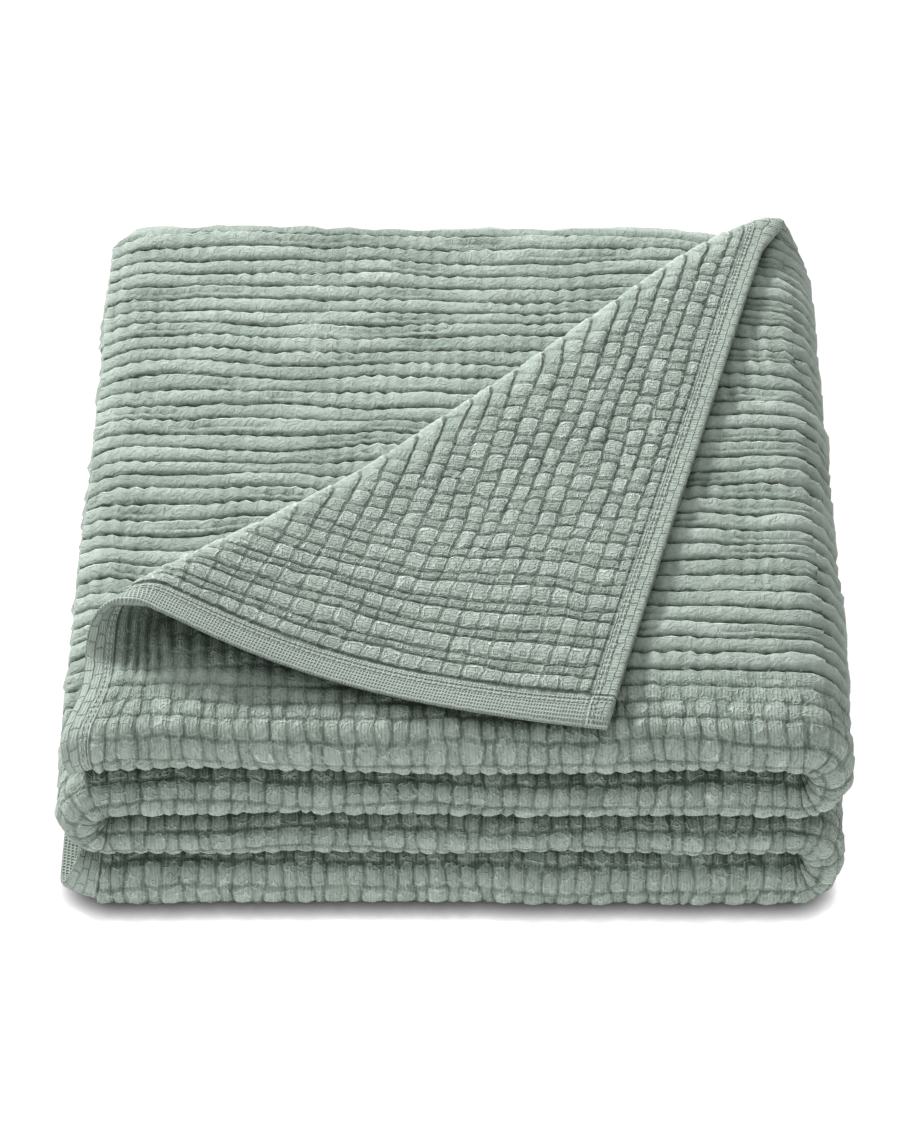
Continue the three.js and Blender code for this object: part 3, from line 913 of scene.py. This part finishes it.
def gauzeMaterial():
    material, add = newMaterial("washedCottonGauze")
    place, lattice, onHem = (add("UVMap", uv_map=name) for name in ("clothPlace", "latticePlace", "hemPlace"))
    look = {name: add("Attribute", output="Fac", attribute_name=name)
            for name in ("crest", "cells", "ridges", "outlined", "brickHem", "openHem")}
    look["even"] = 1.0
    # Ambient occlusion, which darkens creases and places under an edge in the colour as painted shade
    look["paintedCreaseShade"] = add("AmbientOcclusion", {"Distance": cottonGauze["creaseShadeReach"]}, "AO", samples=4)

    # Lint and lumps
    look["lumps"] = add("TexNoise", {"Vector": place, "Scale": 1 / cottonGauze["lumpSize"], "Detail": 3.0,
                                     "Roughness": 0.58, "Distortion": 1.1}, "Fac")

    # Where a point lies in its rib and bead, with wavy lines between them
    waves = add("TexNoise", {"Vector": place, "Scale": 1 / cottonGauze["lineWave"], "Detail": 1.0}, "Color")
    waves = add("VectorMath", {0: waves, 1: (0.5, 0.5, 0.5)}, operation="SUBTRACT")
    waveHeight = add("SeparateXYZ", {0: waves}, "Z")
    sway = add("Math", {0: look["cells"], 1: look["outlined"]}, operation="SUBTRACT")
    sway = add("Math", {0: sway, 1: 0.5, 2: cottonGauze["lineSway"]}, operation="MULTIPLY_ADD")
    sway = add("CombineXYZ", {"X": sway, "Y": sway})
    swayed = add("VectorMath", {0: waves, 1: sway, 2: lattice}, operation="MULTIPLY_ADD")
    phase = add("VectorMath", {0: swayed}, operation="FRACTION")
    centred = add("VectorMath", {0: phase, 1: (0.5, 0.5, 0)}, operation="SUBTRACT")
    centred = add("VectorMath", {0: centred}, operation="ABSOLUTE")
    fromEdge = add("VectorMath", {0: (0.5, 0.5, 0), 1: centred}, operation="SUBTRACT")
    beadPhase, ribPhase = (add("SeparateXYZ", {0: phase}, axis) for axis in "XY")
    beadEdge, ribEdge = (add("SeparateXYZ", {0: fromEdge}, axis) for axis in "XY")

    # A soft line, strongest where the value is at its place and gone beyond its reach
    def line(name, value, strength=1.0):
        at, reach = gauzeLines[name]
        off = add("Math", {0: value, 1: at}, operation="SUBTRACT")
        off = add("Math", {0: off}, operation="ABSOLUTE")
        return add("MapRange", {"Value": off, "From Max": reach, "To Min": strength, "To Max": 0.0},
                   interpolation_type="SMOOTHSTEP")

    # Pale and dark lines of the ribs, and of the cells where they are outlined, fading in and out. The pale
    # rib crest line is a painted highlight and the dark groove lines are painted shade; the pale cell outline
    # is strongest on each cell's upper side, as a painted highlight
    fading = add("MapRange", {"Value": waveHeight, **cottonGauze["lineFade"]})
    look["ribCrest"] = line("ribCrest", ribPhase, fading)
    look["ribGroove"] = line("ribGroove", ribEdge)
    beadSide = add("Math", {0: beadEdge, 1: cottonGauze["cellSquareness"]}, operation="MULTIPLY")
    ribSide = add("Math", {0: look["ridges"], 1: ribEdge}, operation="ADD")
    cellEdge = add("Math", {0: beadSide, 1: ribSide, 2: cottonGauze["cellCorner"]}, operation="SMOOTH_MIN")
    cellFading = add("Math", {0: fading, 1: look["outlined"]}, operation="MULTIPLY")
    look["cellGroove"] = line("cellGroove", cellEdge, cellFading)
    # Painted highlight: the cell outline is paler on the upper side of each cell, where light from behind
    # would catch it
    upperSideHighlight = add("MapRange", {"Value": beadPhase, "To Min": 0.5, "To Max": 1.0})
    upperFading = add("Math", {0: upperSideHighlight, 1: cellFading}, operation="MULTIPLY")
    look["cellOutline"] = line("cellOutline", cellEdge, upperFading)
    look["looseThread"] = line("looseThread", waveHeight)

    # Threads of the weave, showing in the cells and hems, and in both directions in the open end hem
    waveRepeat = math.pi / 10  # of a wave texture at scale 1
    look["threads"] = add("TexWave", {"Vector": place, "Scale": waveRepeat / cottonGauze["threadPitch"],
                                      "Distortion": 5.0, "Detail": 1.0, "Detail Scale": 0.6},
                          "Fac", bands_direction="X")
    openScale = waveRepeat / cottonGauze["openPitch"]
    warp, weft = (
        add("TexWave", {"Vector": place, "Scale": openScale, "Distortion": 1.2, "Detail": 0.0},
            "Fac", bands_direction=axis)
        for axis in "XY")
    look["openWeave"] = add("Math", {0: warp, 1: weft}, operation="MAXIMUM")

    # Hems: bricks of crinkle, a raised seam beside its stitches, and the fold of the doubled corner
    unevenHem = add("VectorMath", {0: waves, 1: cottonGauze["brickSway"], 2: onHem}, operation="MULTIPLY_ADD")
    look["bricks"] = add("TexBrick", {"Vector": unevenHem, "Scale": 1 / cottonGauze["brickSize"],
                                      "Mortar Size": 0.12, "Mortar Smooth": 1.0, "Brick Width": 1.6,
                                      "Row Height": 1.0}, "Fac", offset=0.5)
    alongHem, acrossHem = (add("SeparateXYZ", {0: onHem}, axis) for axis in "XY")
    inHem = add("Math", {0: look["brickHem"], 1: look["openHem"]}, operation="ADD")
    seamAcross = line("seamAcross", acrossHem, inHem)
    seamAlong = line("seamAlong", alongHem, inHem)
    look["seam"] = add("Math", {0: seamAcross, 1: seamAlong}, operation="MAXIMUM")
    shadeAcross = line("shadeAcross", acrossHem)
    shadeAlong = line("shadeAlong", alongHem)
    look["seamShade"] = add("Math", {0: shadeAcross, 1: shadeAlong}, operation="MAXIMUM")

    # Adds each pattern to the total by its share
    def weigh(shares, total=0.0):
        for name, share in shares.items():
            total = add("Math", {0: look[name], 1: share, 2: total}, operation="MULTIPLY_ADD")
        return total

    def overCloth(shares):
        mixed = weigh(shares["ribs"])
        for name in ("cells", "brickHem", "openHem"):
            mixed = add("Mix", {0: look[name], 2: mixed, 3: weigh(shares[name])})
        return weigh(shares["everywhere"], mixed)

    bump = add("Bump", {"Distance": cottonGauze["bumpHeight"], "Height": overCloth(gauzeHeights)})
    # The shade mix, with its painted shade and painted highlight, sets the colour through the ramp
    shade = add("Math", {0: overCloth(gauzeShades), 1: cottonGauze["contrast"]}, operation="MULTIPLY")
    colour = add("ValToRGB", {"Fac": shade}, "Color")
    stops = colour.node.color_ramp.elements
    stops[0].color = hexColour(cottonGauze["grooveColour"])
    stops[1].color = hexColour(cottonGauze["lineColour"])
    stops.new(cottonGauze["clothStop"]).color = hexColour(cottonGauze["clothColour"])
    stops.new(cottonGauze["crestStop"]).color = hexColour(cottonGauze["crestColour"])
    shader = add("BsdfPrincipled", {"Base Color": colour, "Normal": bump,
                                    "Roughness": cottonGauze["roughness"],
                                    "Specular IOR Level": cottonGauze["specular"],
                                    "Sheen Weight": cottonGauze["sheen"],
                                    "Sheen Roughness": cottonGauze["sheenRoughness"]})
    add("OutputMaterial", {"Surface": shader})
    return material


# Spun cotton sewing thread in the cloth's colour: a little paler and smoother, spotted where its plies twist
sewingThread = {
    "darkColour": "8f9d92",
    "paleColour": "dfe6e1",
    "spotsAcross": 900,  # over the throw's width, about half a millimetre each
    "roughness": 0.75,
    "specular": 0.3,
}


def threadMaterial():
    material, add = newMaterial("cottonSewingThread")
    spots = add("TexNoise", {"Scale": sewingThread["spotsAcross"], "Detail": 1.0}, "Fac")
    colour = add("Mix", {0: spots, 6: hexColour(sewingThread["darkColour"]),
                         7: hexColour(sewingThread["paleColour"])}, 2, data_type="RGBA")
    shader = add("BsdfPrincipled", {"Base Color": colour, "Roughness": sewingThread["roughness"],
                                    "Specular IOR Level": sewingThread["specular"]})
    add("OutputMaterial", {"Surface": shader})
    return material


# Camera as the photograph was taken: from the front, well above, with a long lens
photoCamera = {
    "elevation": 46,
    "distance": 2.267,
    "target": (0, 0, 0.076),
    "sensor": 36,
    "focalPixels": 3718,
    "framePixels": (900, 1125),
    "principalPixel": (454, 537),
    "nearest": 0.05,
    "farthest": 50,
}


def placeCamera():
    camera = bpy.data.cameras.new("photoCamera")
    width, height = photoCamera["framePixels"]
    camera.sensor_width = photoCamera["sensor"]
    camera.lens = photoCamera["sensor"] * photoCamera["focalPixels"] / height
    camera.shift_x = (width / 2 - photoCamera["principalPixel"][0]) / height
    camera.shift_y = -(height / 2 - photoCamera["principalPixel"][1]) / height
    camera.clip_start = photoCamera["nearest"]
    camera.clip_end = photoCamera["farthest"]
    obj = bpy.data.objects.new("photoCamera", camera)
    up = math.radians(photoCamera["elevation"])
    target = Vector(photoCamera["target"])
    obj.location = target + photoCamera["distance"] * Vector((0, -math.cos(up), math.sin(up)))
    obj.rotation_euler = (target - obj.location).to_track_quat("-Z", "Y").to_euler()
    bpy.context.scene.collection.objects.link(obj)
    bpy.context.scene.camera = obj


# Studio: a key panel behind and to the left that rakes the ribs, a wide panel overhead, a low panel in front,
# a pale room, and a backlit white table with a painted contact shadow right beside the cloth
studio = {
    "keyPanel": {"power": 184, "size": 0.78, "place": (-1.95, 2.5, 2.1)},
    "overheadPanel": {"power": 13, "size": 2.0, "place": (0.0, 0.1, 2.2)},
    "frontPanel": {"power": 17, "size": 1.2, "place": (-0.5, -2.4, 0.5)},
    "lightTarget": (0, 0, 0.08),
    "roomLight": 0.32,
    "tableReach": 40,
    "tableGlow": 1.06,
    "shadeReach": 0.0115,
    "shadeCurve": 1.75,
}


def placeLight(name, power, size, place):
    light = bpy.data.lights.new(name, "AREA")
    light.energy = power
    light.size = size
    obj = bpy.data.objects.new(name, light)
    obj.location = place
    aim = Vector(studio["lightTarget"]) - obj.location
    obj.rotation_euler = aim.to_track_quat("-Z", "Y").to_euler()
    bpy.context.scene.collection.objects.link(obj)


# Backlit white acrylic: it glows evenly and shows no gloss, with a painted contact shadow from ambient
# occlusion right beside the cloth
def tableMaterial():
    material, add = newMaterial("backlitAcrylic")
    # Ambient occlusion darkens the glow right beside the cloth: a painted contact shadow
    shade = add("AmbientOcclusion", {"Distance": studio["shadeReach"]}, "AO", samples=6)
    curved = add("Math", {0: shade, 1: studio["shadeCurve"]}, operation="POWER")
    glow = add("Math", {0: curved, 1: studio["tableGlow"]}, operation="MULTIPLY")
    emission = add("Emission", {"Color": (1, 1, 1, 1), "Strength": glow})
    add("OutputMaterial", {"Surface": emission})
    return material


def buildStudio():
    for name in ("keyPanel", "overheadPanel", "frontPanel"):
        placeLight(name, **studio[name])
    world = bpy.data.worlds.new("whiteRoom")
    world.use_nodes = True
    world.node_tree.nodes["Background"].inputs["Color"].default_value = (1, 1, 1, 1)
    world.node_tree.nodes["Background"].inputs["Strength"].default_value = studio["roomLight"]
    bpy.context.scene.world = world
    bpy.context.scene.view_settings.view_transform = "Standard"
    reach = studio["tableReach"]
    mesh = bpy.data.meshes.new("lightTable")
    corners = [(-reach, -reach, 0), (reach, -reach, 0), (reach, reach, 0), (-reach, reach, 0)]
    mesh.from_pydata(corners, [], [(0, 1, 2, 3)])
    mesh.materials.append(tableMaterial())
    table = bpy.data.objects.new("lightTable", mesh)
    bpy.context.scene.collection.objects.link(table)


placeCamera()
buildStudio()
print("camera and studio ready")

throw = buildThrow()
throw.data.materials.append(gauzeMaterial())
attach(throw, "root")
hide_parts("throw_cloth")

stitches = buildStitches()
stitches.data.materials.append(threadMaterial())
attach(stitches, "root")
